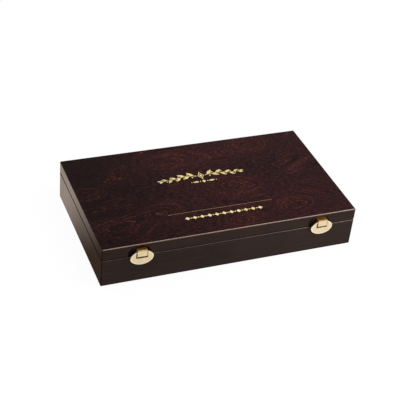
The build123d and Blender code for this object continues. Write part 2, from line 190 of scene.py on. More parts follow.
def edge_highlight_share(graph):
    """1 on edges along front and back, where a lighter brown is painted as their highlight and the
    coat is glossy, and 0 elsewhere.
    """
    facing = graph.vectors("ABSOLUTE", graph.facing())
    sideways, deep, upright = (graph.axis(facing, axis) for axis in (X, Y, Z))
    largest = graph.math("MAXIMUM", graph.math("MAXIMUM", sideways, deep), upright)
    slanted = graph.fade(largest, start=0.985, end=0.88)
    frontal = graph.fade(sideways, start=0.4, end=0.15)
    # The painted highlight is a little weaker in places along the edges
    rubbed = graph.noise(graph.place(), scale=60.0, detail=3.0)
    return graph.times(slanted, frontal, graph.fade(rubbed, start=0.25, end=0.6, low=0.85))


# Stained wood: waves of its pores for each metre across and along the grain, and its tones
PORES_ACROSS = 260.0
PORES_ALONG = 9.0
PORE_SHARE = 0.75
STAIN_DARK = rgb(0.0100, 0.0041, 0.0029)
STAIN_LIGHT = rgb(0.0165, 0.0076, 0.0058)
PORE_COLOUR = rgb(0.028, 0.0140, 0.0105)

# Stained wood: the lighter brown painted on its front and back edges as their highlight, and the
# share of it on the bevels at the seam
EDGE_HIGHLIGHT_COLOUR = rgb(0.135, 0.072, 0.032)
BEVEL_HIGHLIGHT_SHARE = 0.6

# Seam between base and lid: its height, the colour of the shade painted in it, and how far from it,
# in metres, the painted shade is full and where it ends
SEAM_HEIGHT = 0.0454
SEAM_SHADE_COLOUR = rgb(0.004, 0.002, 0.0015)
FRONT_SEAM_SHADE_REACH = (0.0004, 0.0008)
SIDE_SEAM_SHADE_REACH = (0.0012, 0.0017)


def painted_seam_shade(graph, reach):
    """1 deep in the seam, where shade is painted, 0 away from it."""
    away = graph.math("SUBTRACT", graph.axis(graph.place(), Z), SEAM_HEIGHT)
    return graph.fade(graph.math("ABSOLUTE", away), start=reach[0], end=reach[1], low=1.0, high=0.0)


def stained_grain(graph, along):
    """The brown-black stain with lighter pores running along one axis."""
    stretch = [PORES_ACROSS] * 3
    stretch[along] = PORES_ALONG
    grain_place = graph.scaled(graph.place(), stretch)
    pores = graph.noise(grain_place, scale=1.6, detail=4.0, roughness=0.65)
    cloud = graph.noise(graph.place(), scale=11.0)
    body = graph.mix(graph.fade(cloud), STAIN_DARK, STAIN_LIGHT)
    return graph.mix(graph.fade(pores, start=0.50, end=0.72, high=PORE_SHARE), body, PORE_COLOUR)


def dark_wood(name, along, seam_shade_reach):
    """Stained hardwood, its pores running along one axis, with painted shade in the seam and a
    highlight painted on its front and back edges.
    """
    graph = Graph(name)
    # Painted shade in the seam: a near-black colour, and a dull coat there
    seam_shade = painted_seam_shade(graph, seam_shade_reach)
    outside_seam_shade = graph.math("SUBTRACT", 1.0, seam_shade)
    edges = graph.times(outside_seam_shade, BEVEL_HIGHLIGHT_SHARE, edge_highlight_share(graph))
    # The front and back edges and the seam bevels get a lighter brown, a painted highlight
    worn = graph.mix(edges, stained_grain(graph, along), EDGE_HIGHLIGHT_COLOUR)
    graph.set(Base_Color=graph.mix(seam_shade, worn, SEAM_SHADE_COLOUR))
    lacquer(graph, edges, seam_shade)
    return graph.material


# Veneer: places on the lid that its growth rings close around, and how far each one reaches, in
# metres; how much longer they are along the grain, and how many rings they add
SWIRLS = (
    (0.114, -0.076, 0.024),
    (0.020, -0.095, 0.022),
    (0.109, 0.092, 0.030),
    (-0.039, 0.070, 0.030),
    (-0.185, 0.020, 0.024),
    (-0.172, -0.066, 0.030),
    (-0.086, -0.046, 0.026),
    (0.040, -0.015, 0.036),
)
SWIRL_STRETCH = 1.7
SWIRL_HEIGHT = 0.42

# Veneer: waves of its figure for each metre of X and of Y, and for a growth field of 1
FLECK_WAVES = (150.0, 480.0, 100.0)
RING_WAVES = (9.0, 0.0, 26.0)
LINE_WAVES = (16.0, 30.0, 62.0)
FIBRE_WAVES = (150.0, 430.0, 1.0)

# Veneer: stretch of its broad patterns
DRIFT_STRETCH = (0.6, 1.25, 1.0)
PATCH_STRETCH = (0.8, 1.3, 1.0)
CLOUD_STRETCH = (1.0, 1.6, 1.0)

# Veneer: its tones, and the shares of what is mixed in
GROUND_DARK = rgb(0.0050, 0.0021, 0.0029)
GROUND_LIGHT = rgb(0.0095, 0.0034, 0.0044)
FIBRE_COLOUR = rgb(0.036, 0.0092, 0.0096)
FIBRE_SHARE = 0.9
PATCH_COLOUR = rgb(0.024, 0.0062, 0.0055)
PATCH_SHARE = 0.45
FLECK_COLOUR = rgb(0.125, 0.0285, 0.0185)
DARK_LINE_COLOUR = rgb(0.0030, 0.0014, 0.0020)
DARK_LINE_SHARE = 0.7
LEFT_END_COLOUR = rgb(0.0020, 0.0012, 0.0018)
LEFT_END_SHARE = 0.62
LEFT_END_CALM = 0.5


def swirl_field(graph, place):
    """Sum of soft bumps, one on each swirl, longer along the grain than across it."""
    total = 0.0
    for x, y, reach in SWIRLS:
        away = graph.vectors("SUBTRACT", place, (x, y, 0.0))
        unit = graph.scaled(away, (1 / (SWIRL_STRETCH * reach), 1 / reach, 0.0))
        square = graph.vectors("DOT_PRODUCT", unit, unit, output="Value")
        bump = graph.math("EXPONENT", graph.times(square, -1.0))
        total = graph.math("ADD", total, bump)
    return total


def ring_place(graph, place, field, waves):
    """Where a pattern is read so that it lies along the growth rings."""
    return graph.add("ShaderNodeCombineXYZ", {
        "X": graph.times(graph.axis(place, X), waves[X]),
        "Y": graph.times(graph.axis(place, Y), waves[Y]),
        "Z": graph.times(field, waves[Z]),
    }).outputs[0]


def veneer_figure(graph, place):
    """The shares of patches, bright flecks, dark lines and the dark left end."""
    along = graph.axis(place, X)
    swirls = swirl_field(graph, place)
    drift_place = graph.scaled(place, DRIFT_STRETCH)
    drift = graph.noise(drift_place, scale=9.0, roughness=0.45, distortion=0.3)
    field = graph.math("ADD", drift, graph.times(swirls, SWIRL_HEIGHT))
    flecks = graph.noise(ring_place(graph, place, field, FLECK_WAVES), detail=4.0, roughness=0.62)
    rings = graph.noise(ring_place(graph, place, field, RING_WAVES))
    lines = graph.noise(ring_place(graph, place, field, LINE_WAVES))
    spots = graph.noise(graph.scaled(place, PATCH_STRETCH), scale=14.0, distortion=0.6)
    near_swirls = graph.fade(swirls, start=0.25, end=0.85)
    patches = graph.math("MAXIMUM", graph.fade(spots, start=0.48, end=0.68), near_swirls)
    patch_strength = graph.fade(patches, start=0.0, end=1.0, low=0.20)
    left_end = graph.fade(along, start=-0.18, end=-0.01, low=LEFT_END_SHARE, high=0.0)
    swelling = graph.times(
        graph.fade(flecks, start=0.49, end=0.68),
        graph.fade(graph.fade(rings, start=0.42, end=0.62), start=0.0, end=1.0, low=0.16),
        patch_strength,
        graph.fade(along, start=0.13, end=0.18, low=1.0, high=0.40),
    )
    brightened = graph.times(
        graph.fade(lines, start=0.50, end=0.38, low=0.65, high=1.6),
        graph.fade(swirls, start=0.35, end=0.85, low=1.0, high=1.35),
    )
    flecked = graph.math("MULTIPLY", swelling, brightened, clamp=True)
    calmed = graph.math("SUBTRACT", 1.0, graph.times(left_end, LEFT_END_CALM))
    dark_lines = graph.fade(lines, start=0.53, end=0.62, high=DARK_LINE_SHARE)
    return patches, graph.times(flecked, calmed), graph.times(dark_lines, patch_strength), left_end


def figured_veneer():
    """Dark mahogany-coloured veneer, its red-brown flecks lying along the growth rings."""
    graph = Graph("figured_veneer")
    place = graph.place()
    patches, flecks, dark_lines, left_end = veneer_figure(graph, place)
    cloud = graph.noise(graph.scaled(place, CLOUD_STRETCH), scale=6.0, detail=3.0)
    fibre = graph.noise(graph.scaled(place, FIBRE_WAVES), detail=3.0, roughness=0.65)
    tone = graph.mix(graph.fade(cloud, start=0.35, end=0.65), GROUND_DARK, GROUND_LIGHT)
    tone = graph.mix(graph.fade(fibre, start=0.42, end=0.64, high=FIBRE_SHARE), tone, FIBRE_COLOUR)
    tone = graph.mix(graph.times(patches, PATCH_SHARE), tone, PATCH_COLOUR)
    tone = graph.mix(left_end, tone, LEFT_END_COLOUR)
    tone = graph.mix(flecks, tone, FLECK_COLOUR)
    tone = graph.mix(dark_lines, tone, DARK_LINE_COLOUR)
    upwards = graph.axis(graph.facing(), Z)
    tone = graph.mix(graph.fade(upwards, start=0.3, end=0.6), stained_grain(graph, X), tone)
    edges = edge_highlight_share(graph)
    # The front and back edges get a lighter brown, a painted highlight
    graph.set(Base_Color=graph.mix(edges, tone, EDGE_HIGHLIGHT_COLOUR))
    lacquer(graph, edges)
    return graph.material


# Bottom board: waves of its grain for each metre, its tones, and the depth of its grain in metres
BOARD_WAVES = (8.0, 170.0, 170.0)
BOARD_DARK = rgb(0.020, 0.012, 0.009)
BOARD_LIGHT = rgb(0.055, 0.029, 0.019)
BOARD_GRAIN_DEPTH = 0.00008


def bottom_board():
    """The plain stained board under the case."""
    graph = Graph("bottom_board")
    grain_place = graph.scaled(graph.place(), BOARD_WAVES)
    grain = graph.noise(grain_place, scale=1.5, detail=4.0, roughness=0.6)
    graph.set(
        Base_Color=graph.mix(graph.fade(grain, start=0.35, end=0.7), BOARD_DARK, BOARD_LIGHT),
        Roughness=graph.fade(grain, start=0.3, end=0.8, low=0.42, high=0.6),
        Normal=graph.bump(grain, distance=BOARD_GRAIN_DEPTH),
    )
    return graph.material


# Ovals: their centres and half sizes in metres, and where the highlight painted on their rims
# starts and ends, as shares
OVAL_X = 0.142
OVAL_Z = 0.0455
OVAL_HALF_WIDTH = 0.0175
OVAL_HALF_HEIGHT = 0.0124
RIM_START = 0.84
RIM_FULL = 0.90

# Brass: waves of its brushing for each metre, the depth of a brushed line in metres, and its tones,
# with the paler gold painted as a highlight on the ovals' rims and its share
BRASS_WAVES = (90.0, 1300.0, 1300.0)
BRASS_LINE_DEPTH = 0.000006
BRASS_PALE = rgb(0.86, 0.73, 0.49)
BRASS_TARNISHED = rgb(0.77, 0.62, 0.37)
BRASS_LINE_COLOUR = rgb(0.70, 0.56, 0.34)
RIM_HIGHLIGHT_COLOUR = rgb(0.97, 0.87, 0.64)
RIM_HIGHLIGHT_SHARE = 0.85

# Clasps: the dark amber painted as a reflection on what faces up, and the dark brown painted as
# shade on bends, where it hides the lamp's reflection
TOP_REFLECTION_AMBER = rgb(0.78, 0.42, 0.09)
BEND_SHADE_BROWN = rgb(0.20, 0.125, 0.055)


def rim_highlight_share(graph, place):
    """1 on the rim of an oval, where a highlight is painted, 0 on its brushed face."""
    aside = graph.math("SUBTRACT", graph.math("ABSOLUTE", graph.axis(place, X)), OVAL_X)
    across = graph.math("DIVIDE", aside, OVAL_HALF_WIDTH)
    above = graph.math("SUBTRACT", graph.axis(place, Z), OVAL_Z)
    upward = graph.math("DIVIDE", above, OVAL_HALF_HEIGHT)
    square = graph.math("ADD", graph.times(across, across), graph.times(upward, upward))
    return graph.fade(graph.math("SQRT", square), start=RIM_START, end=RIM_FULL)


def brass(name, rim_highlighted=False, painted_by_facing=True):
    """Pale satin gold plate, brushed along X, with a dark amber reflection painted on what faces up
    and shade painted on bends.
    """
    graph = Graph(name)
    place = graph.place()
    lines = graph.noise(graph.scaled(place, BRASS_WAVES), detail=3.0)
    cloud = graph.noise(place, scale=130.0, detail=3.0)
    tarnish = graph.fade(cloud, start=0.35, end=0.75, high=0.5)
    plate = graph.mix(tarnish, BRASS_PALE, BRASS_TARNISHED)
    plate = graph.mix(graph.fade(lines, high=0.35), plate, BRASS_LINE_COLOUR)
    if rim_highlighted:
        # The rim gets a paler gold, a painted highlight
        plate = graph.mix(graph.times(rim_highlight_share(graph, place), RIM_HIGHLIGHT_SHARE), plate, RIM_HIGHLIGHT_COLOUR)
    if painted_by_facing:
        # Bends that turn up get a painted shade, and faces that look up a painted dark amber
        # reflection
        upwards = graph.axis(graph.facing(), Z)
        plate = graph.mix(graph.fade(upwards, start=0.22, end=0.42), plate, BEND_SHADE_BROWN)
        plate = graph.mix(graph.fade(upwards, start=0.90, end=0.985), plate, TOP_REFLECTION_AMBER)
    graph.set(
        Base_Color=plate,
        Metallic=1.0,
        Roughness=graph.fade(lines, start=0.25, end=0.75, low=0.22, high=0.36),
        Normal=graph.bump(lines, distance=BRASS_LINE_DEPTH, strength=0.6),
    )
    return graph.material


# Spring: waves of its drawing marks for each metre, and its tones
STEEL_WAVES = (400.0, 5000.0, 5000.0)
STEEL_DARK = rgb(0.44, 0.44, 0.46)
STEEL_LIGHT = rgb(0.60, 0.60, 0.61)


def spring_steel():
    """Drawn steel wire."""
    graph = Graph("spring_steel")
    lines = graph.noise(graph.scaled(graph.place(), STEEL_WAVES))
    graph.set(
        Base_Color=graph.mix(graph.fade(lines), STEEL_DARK, STEEL_LIGHT),
        Metallic=1.0,
        Roughness=graph.fade(lines, low=0.25, high=0.4),
    )
    return graph.material


# Flock: the tones of its roots, tips and rubbed places, and the height of its fibres in metres
FLOCK_ROOTS = rgb(0.006, 0.006, 0.007)
FLOCK_TIPS = rgb(0.032, 0.030, 0.031)
FLOCK_RUBBED = rgb(0.045, 0.042, 0.042)
FLOCK_HEIGHT = 0.00012


def flocked():
    """Black flocked plastic: short dense fibres with a faint sheen."""
    graph = Graph("flocked_tray")
    place = graph.place()
    fibres = graph.noise(place, scale=2600.0, detail=3.0, roughness=0.7)
    rubbed = graph.fade(graph.noise(place, scale=45.0, detail=3.0), start=0.45, end=0.8, high=0.4)
    dark = graph.mix(graph.fade(fibres, start=0.35, end=0.7), FLOCK_ROOTS, FLOCK_TIPS)
    graph.set(
        Base_Color=graph.mix(rubbed, dark, FLOCK_RUBBED),
        Roughness=0.92,
        Normal=graph.bump(fibres, distance=FLOCK_HEIGHT),
        Sheen_Weight=0.35,
        Sheen_Roughness=0.4,
        Specular_IOR_Level=0.2,
    )
    return graph.material


# Foil: the ruled line, in millimetres, and its thinner gold
RULE_HALF_LENGTH = 83.0
RULE_WIDTH = 0.8
RULE_Y = -59.5
RULE_TONE = rgb(0.24, 0.165, 0.085)

# Foil: its tones, and the depth of its wear in metres
FOIL_WARM = rgb(0.86, 0.68, 0.27)
FOIL_BRIGHT = rgb(0.96, 0.80, 0.38)
FOIL_WORN = rgb(0.36, 0.22, 0.10)
FOIL_WORN_SHARE = 0.65
FOIL_WEAR_DEPTH = 0.000008


def gold_foil():
    """Hot-stamped gold foil, a little worn where hands have slid over it."""
    graph = Graph("gold_foil")
    place = graph.place()
    worn = graph.noise(place, scale=260.0, detail=4.0, roughness=0.6)
    tone = graph.noise(place, scale=45.0)
    foil = graph.mix(graph.fade(tone), FOIL_WARM, FOIL_BRIGHT)
    from_rule = graph.math("SUBTRACT", graph.axis(place, Y), MM * RULE_Y)
    beside = graph.math("ABSOLUTE", from_rule)
    off_rule = graph.fade(beside, start=MM * RULE_WIDTH, end=2 * MM * RULE_WIDTH)
    foil = graph.mix(off_rule, RULE_TONE, foil)
    foil = graph.mix(graph.fade(worn, start=0.58, end=0.78, high=FOIL_WORN_SHARE), foil, FOIL_WORN)
    graph.set(
        Base_Color=foil,
        Metallic=0.45,
        Roughness=graph.fade(worn, low=0.34, high=0.5),
        Normal=graph.bump(worn, distance=FOIL_WEAR_DEPTH),
    )
    return graph.material


# Lining: waves of its weave and of its thicker threads for each metre
WEAVE_WAVES = 2 * math.pi / 0.0009
SLUB_WAVES = (90.0, 1400.0, 1.0)

# Lining: its tones, how much a crease darkens it, the weave's share of a thread's height, the
# height of a crease in threads, and that of a thread in metres
CLOTH_SHADE = rgb(0.50, 0.43, 0.31)
CLOTH_LIGHT = rgb(0.68, 0.61, 0.48)
CLOTH_CREASE = rgb(0.42, 0.35, 0.25)
CREASE_SHARE = 0.35
WEAVE_SHARE = 0.25
CREASE_HEIGHT = 6.0
THREAD_HEIGHT = 0.00012


def lining_cloth():
    """Ivory sateen over padding: a fine weave with soft creases."""
    graph = Graph("lining_cloth")
    place = graph.place()
    across = graph.math("SINE", graph.times(graph.axis(place, X), WEAVE_WAVES))
    along = graph.math("SINE", graph.times(graph.axis(place, Y), WEAVE_WAVES))
    slub = graph.noise(graph.scaled(place, SLUB_WAVES), detail=3.0)
    crease = graph.noise(place, scale=22.0, detail=3.0, roughness=0.55, distortion=0.5)
    thread = graph.math("ADD", graph.times(across, along, WEAVE_SHARE), slub)
    tone = graph.mix(graph.fade(thread, start=0.25, end=0.85), CLOTH_SHADE, CLOTH_LIGHT)
    creased = graph.fade(crease, start=0.35, end=0.7, high=CREASE_SHARE)
    height = graph.math("ADD", graph.times(crease, CREASE_HEIGHT), thread)
    graph.set(
        Base_Color=graph.mix(creased, tone, CLOTH_CREASE),
        Roughness=graph.fade(slub, low=0.55, high=0.75),
        Normal=graph.bump(height, distance=THREAD_HEIGHT),
        Sheen_Weight=0.3,
        Sheen_Roughness=0.4,
    )
    return graph.material


# Ribbon: waves of its floats for each metre, where its corded edge starts and is full in metres
# from its middle, its tones, and the height of a float in metres
SATIN_WAVES = (300.0, 5200.0, 5200.0)
CORD_START = 0.0050
CORD_FULL = 0.0056
SATIN_DARK = rgb(0.16, 0.008, 0.016)
SATIN_LIGHT = rgb(0.30, 0.018, 0.032)
CORD_COLOUR = rgb(0.11, 0.006, 0.012)
FLOAT_HEIGHT = 0.00002


def satin_ribbon():
    """Burgundy satin: glossy floats across the ribbon and a corded edge."""
    graph = Graph("satin_ribbon")
    place = graph.place()
    floats = graph.noise(graph.scaled(place, SATIN_WAVES))
    from_middle = graph.math("ABSOLUTE", graph.axis(place, X))
    corded = graph.fade(from_middle, start=CORD_START, end=CORD_FULL)
    satin = graph.mix(graph.fade(floats), SATIN_DARK, SATIN_LIGHT)
    graph.set(
        Base_Color=graph.mix(corded, satin, CORD_COLOUR),
        Roughness=graph.fade(floats, low=0.26, high=0.42),
        Normal=graph.bump(floats, distance=FLOAT_HEIGHT),
        Sheen_Weight=0.4,
        Sheen_Roughness=0.3,
    )
    return graph.material


# The order of the pencils' colours, as a few anchor colours with the rest blended between them,
# the shades that they take in turn, and the lightest that a paint gets
PENCIL_ANCHORS = (
    rgb(0.90, 0.89, 0.84), rgb(0.90, 0.80, 0.25), rgb(0.87, 0.52, 0.03), rgb(0.82, 0.22, 0.02),
    rgb(0.68, 0.03, 0.02), rgb(0.52, 0.01, 0.07), rgb(0.78, 0.19, 0.33), rgb(0.30, 0.02, 0.28),
    rgb(0.10, 0.03, 0.35), rgb(0.02, 0.06, 0.42), rgb(0.01, 0.20, 0.60), rgb(0.02, 0.38, 0.52),
    rgb(0.01, 0.28, 0.20), rgb(0.03, 0.24, 0.04), rgb(0.24, 0.42, 0.05), rgb(0.28, 0.25, 0.05),
    rgb(0.50, 0.28, 0.07), rgb(0.36, 0.12, 0.03), rgb(0.13, 0.04, 0.02), rgb(0.30, 0.27, 0.25),
    rgb(0.10, 0.10, 0.11), rgb(0.012, 0.012, 0.013),
)
SHADE_STEPS = (1.0, 0.82, 1.12)
LIGHTEST_PAINT = 0.92

# Pencils: how many there are, their width and their lead's as shares of the room that each one
# has, and the gold ring's place and width in metres
PENCILS_PER_COLUMN = 19
PENCIL_COUNT = len(LEVELS) * len(SIDES) * PENCILS_PER_COLUMN
PENCIL_WIDTH_SHARE = 0.822
LEAD_WIDTH_SHARE = 0.356
RING_FROM_END = 0.013
RING_WIDTH = 0.003

# Pencils: the tones of ring, bare wood and lead, the wood's waves for each metre, the most that a
# face of its cone faces along X, and the height in metres of the specks in paint and lead
RING_COLOUR = rgb(0.83, 0.66, 0.34)
CEDAR_WAVES = (60.0, 900.0, 900.0)
CEDAR_DARK = rgb(0.50, 0.26, 0.12)
CEDAR_LIGHT = rgb(0.68, 0.42, 0.23)
CONE_FACING = -0.1
CONE_ROUGHNESS = 0.45
PAINT_SPECK_HEIGHT = 0.00001
LEAD_SHADOW = rgb(0.02, 0.02, 0.02)
LEAD_SHADOW_SHARE = 0.35
LEAD_GRIT_HEIGHT = 0.00003


def pencil_colour(number):
    """The colour of a pencil by its number in the whole set."""
    along = number / (PENCIL_COUNT - 1) * (len(PENCIL_ANCHORS) - 1)
    first = min(int(along), len(PENCIL_ANCHORS) - 2)
    share = along - first
    shade = SHADE_STEPS[number % len(SHADE_STEPS)]
    pairs = zip(PENCIL_ANCHORS[first][:3], PENCIL_ANCHORS[first + 1][:3])
    return rgb(*(min(LIGHTEST_PAINT, shade * (a + (b - a) * share)) for a, b in pairs))


def column_paint(graph, place, first_number, node, width_share):
    """A constant colour for each pencil of a column, picked by its place across the tray."""
    low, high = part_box(node)
    pitch = (high.y - low.y) / (PENCILS_PER_COLUMN - 1 + width_share)
    margin = pitch * (1 - width_share) / 2
    across = graph.fade(graph.axis(place, Y), low.y - margin, high.y + margin, course="LINEAR")
    ramp = graph.add("ShaderNodeValToRGB", {"Fac": across})
    ramp.color_ramp.interpolation = "CONSTANT"
    stops = ramp.color_ramp.elements
    while len(stops) > 1:
        stops.remove(stops[-1])
    for index in range(PENCILS_PER_COLUMN):
        position = index / PENCILS_PER_COLUMN
        stop = stops.new(position) if index else stops[0]
        stop.position = position
        stop.color = pencil_colour(first_number + PENCILS_PER_COLUMN - 1 - index)
    return ramp.outputs["Color"]


def pencil_casing(node, first_number):
    """Painted hexagonal casing with a gold ring, and bare cedar on the sharpened cone."""
    graph = Graph(node)
    place = graph.place()
    paint = column_paint(graph, place, first_number, node, PENCIL_WIDTH_SHARE)
    along = graph.axis(place, X)
    ring_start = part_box(node)[1].x - RING_FROM_END
    ring = graph.times(
        graph.math("GREATER_THAN", along, ring_start),
        graph.math("LESS_THAN", along, ring_start + RING_WIDTH),
    )
    cone = graph.math("LESS_THAN", graph.axis(graph.facing(), X), CONE_FACING)
    grain = graph.noise(graph.scaled(place, CEDAR_WAVES), detail=3.0)
    cedar = graph.mix(graph.fade(grain, start=0.35, end=0.7), CEDAR_DARK, CEDAR_LIGHT)
    speckle = graph.noise(place, scale=900.0)
    gloss = graph.fade(speckle, low=0.16, high=0.26)
    graph.set(
        Base_Color=graph.mix(cone, graph.mix(ring, paint, RING_COLOUR), cedar),
        Metallic=ring,
        Roughness=graph.math("ADD", graph.times(cone, CONE_ROUGHNESS), gloss),
        Coat_Weight=0.6,
        Coat_Roughness=0.08,
        Normal=graph.bump(speckle, distance=PAINT_SPECK_HEIGHT),
    )
    return graph.material


def pencil_lead(node, first_number):
    """Waxy pigment in the pencil's colour."""
    graph = Graph(node)
    place = graph.place()
    paint = column_paint(graph, place, first_number, node, LEAD_WIDTH_SHARE)
    grit = graph.noise(place, scale=3000.0, detail=3.0)
    darker = graph.mix(LEAD_SHADOW_SHARE, paint, LEAD_SHADOW)
    graph.set(
        Base_Color=graph.mix(graph.fade(grit, start=0.35, end=0.7), darker, paint),
        Roughness=0.55,
        Normal=graph.bump(grit, distance=LEAD_GRIT_HEIGHT),
    )
    return graph.material


def put_material(node, material):
    """Gives a CAD node one material on all of its slots."""
    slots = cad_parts[node].data.materials
    for index in range(len(slots)):
        slots[index] = material
    if not len(slots):
        slots.append(material)


def dress_cad_nodes():
    """The finish of every CAD node that stays."""
    across = dark_wood("dark_wood_across", X, FRONT_SEAM_SHADE_REACH)
    along = dark_wood("dark_wood_deep", Y, SIDE_SEAM_SHADE_REACH)
    for part in ("base", "lid"):
        for wall in ("front", "back"):
            put_material(f"{part}_{wall}_wall", across)
        for wall in SIDES:
            put_material(f"{part}_{wall}_wall", along)
    put_material("lid_top_panel", figured_veneer())
    put_material("base_bottom_panel", bottom_board())
    plate = brass("brass_plate")
    oval = brass("brass_oval", rim_highlighted=True)
    hinge = brass("brass_hinge", painted_by_facing=False)
    steel = spring_steel()
    flock = flocked()
    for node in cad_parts:
        if node.endswith("_spring"):
            put_material(node, steel)
        elif node.endswith("_lever"):
            put_material(node, oval)
        elif node.startswith("clasp_"):
            put_material(node, plate)
        elif node.startswith("hinge_"):
            put_material(node, hinge)
        elif node.endswith("_tray"):
            put_material(node, flock)
    first = 0
    for level in LEVELS:
        for side in SIDES:
            casings = f"{level}_{side}_pencil_casings"
            leads = f"{level}_{side}_pencil_leads"
            put_material(casings, pencil_casing(casings, first))
            put_material(leads, pencil_lead(leads, first))
            first += PENCILS_PER_COLUMN


def add_object(name, data):
    """A new object in the scene, made of this data."""
    piece = bpy.data.objects.new(name, data)
    bpy.context.scene.collection.objects.link(piece)
    return piece


def mesh_object(name, points, faces, material):
    """A mesh in the frame's own coordinates, with its faces turned outwards."""
    mesh = bpy.data.meshes.new(name)
    mesh.from_pydata(points, [], faces)
    shape = bmesh.new()
    shape.from_mesh(mesh)
    bmesh.ops.recalc_face_normals(shape, faces=shape.faces)
    shape.to_mesh(mesh)
    shape.free()
    mesh.materials.append(material)
    return add_object(name, mesh)


def baked(piece):
    """The piece's mesh with its modifiers applied."""
    graph = bpy.context.evaluated_depsgraph_get()
    return bpy.data.meshes.new_from_object(piece.evaluated_get(graph))


def swap_mesh(piece, mesh):
    """Gives the piece a finished mesh and drops its modifiers."""
    piece.modifiers.clear()
    piece.data = mesh


def shade_smooth(piece):
    """Hides the edges between the piece's faces."""
    faces = piece.data.polygons
    faces.foreach_set("use_smooth", [True] * len(faces))


# Foil: its thickness in metres. All its other measures are in millimetres
FOIL_THICKNESS = 0.02 * MM

# Foil: how finely a curve is drawn, how far a lozenge's sides curve in, and the slit between a
# leaf's halves and how early the leaf is widest
CURVE_STEPS = 10
LOZENGE_HOLLOW = 0.32
LEAF_SLIT = 0.22
LEAF_RISE = 0.8

# Foil: the sprig's stem, how it sways, and how sway and width lessen towards its end
SPRIG_Y = 25.5
SPRIG_START = 7.0
SPRIG_LENGTH = 58.0
SPRIG_SWAY = 3.0
SPRIG_HALF_WAVES = 1.7
SPRIG_CALM = 0.45
STEM_HALF_WIDTH = 0.6
STEM_TAPER = 0.5
ANGLE_STEP = 0.01

# Foil: the sprig's leaves and berries at its start, what each measure loses towards its end, and
# the leaf at its tip
SPRIG_LEAVES = 8
FIRST_LEAF = 0.6
LEAF_TURN = 0.62
LEAF_LENGTH = 14.5
LEAF_LENGTH_LOSS = 6.5
LEAF_WIDTH_SHARE = 0.36
BERRY_TURN = 1.05
BERRY_REACH = 4.6
BERRY_REACH_LOSS = 1.8
BERRY_RADIUS = 1.3
BERRY_RADIUS_LOSS = 0.5
TIP_OVERLAP = 0.5
TIP_LENGTH = 7.0
TIP_WIDTH = 2.4

# Foil: half sizes of the lozenge between the sprigs, and of the ring around it, out and inside
HEART_SIZE = (2.4, 4.4)
HEART_RING = ((5.6, 10.5), (4.2, 8.0))

# Foil: the small mark below the sprigs, with a dot, a leaf and a smaller dot on each side
MARK_Y = 10.5
MARK_SIZE = (3.4, 4.0)
MARK_DOT_X = 6.0
MARK_DOT_RADIUS = 1.0
MARK_LEAF_X = 8.2
MARK_LEAF_LENGTH = 10.0
MARK_LEAF_WIDTH = 3.4
MARK_END_X = 20.2
MARK_END_RADIUS = 0.8

# Foil: the border of lozenges with dots between them
BORDER_Y = -74.0
BORDER_PITCH = 11.6
BORDER_HALF_COUNT = 5
BORDER_SIZE = (4.4, 4.0)
BORDER_DOT_RADIUS = 1.05


def moved(x, y, angle, along, aside=0.0):
    """The point reached from another by going in a direction, and then aside to its left."""
    cos, sin = math.cos(angle), math.sin(angle)
    return x + along * cos - aside * sin, y + along * sin + aside * cos


def lozenge(x, y, size):
    """A diamond whose sides curve inwards."""
    half_width, half_height = size
    corners = [(half_width, 0.0), (0.0, half_height), (-half_width, 0.0), (0.0, -half_height)]
    outline = []
    for index, (ax, ay) in enumerate(corners):
        bx, by = corners[(index + 1) % len(corners)]
        mx, my = LOZENGE_HOLLOW * (ax + bx), LOZENGE_HOLLOW * (ay + by)
        for step in range(CURVE_STEPS):
            t = step / CURVE_STEPS
            first, middle, last = (1 - t) ** 2, 2 * t * (1 - t), t * t
            px = first * ax + middle * mx + last * bx
            py = first * ay + middle * my + last * by
            outline.append((x + px, y + py))
    return outline


def dot(x, y, radius):
    """A round dot."""
    count = 3 * CURVE_STEPS
    return [moved(x, y, 2 * math.pi * step / count, radius) for step in range(count)]


def leaf(x, y, angle, length, width):
    """A pointed leaf as two halves with a thin slit for its midrib."""
    halves = []
    for side in (-1, 1):
        rim, rib = [], []
        for step in range(CURVE_STEPS + 1):
            t = step / CURVE_STEPS
            bulge = math.sin(math.pi * t ** LEAF_RISE)
            rim.append((length * t, side * (LEAF_SLIT / 2 + width / 2 * bulge)))
            rib.append((length * t, side * LEAF_SLIT / 2))
        outline = rim + rib[::-1][1:-1]
        halves.append([moved(x, y, angle, along, aside) for along, aside in outline])
    return halves


def stem_point(share):
    """A point of the sprig's stem, from the middle of the lid outwards."""
    sway = SPRIG_SWAY * math.sin(SPRIG_HALF_WAVES * math.pi * share) * (1 - SPRIG_CALM * share)
    return SPRIG_START + SPRIG_LENGTH * share, SPRIG_Y + sway


def stem_angle(share):
    """The stem's direction at that point."""
    (ax, ay), (bx, by) = stem_point(share - ANGLE_STEP), stem_point(share + ANGLE_STEP)
    return math.atan2(by - ay, bx - ax)


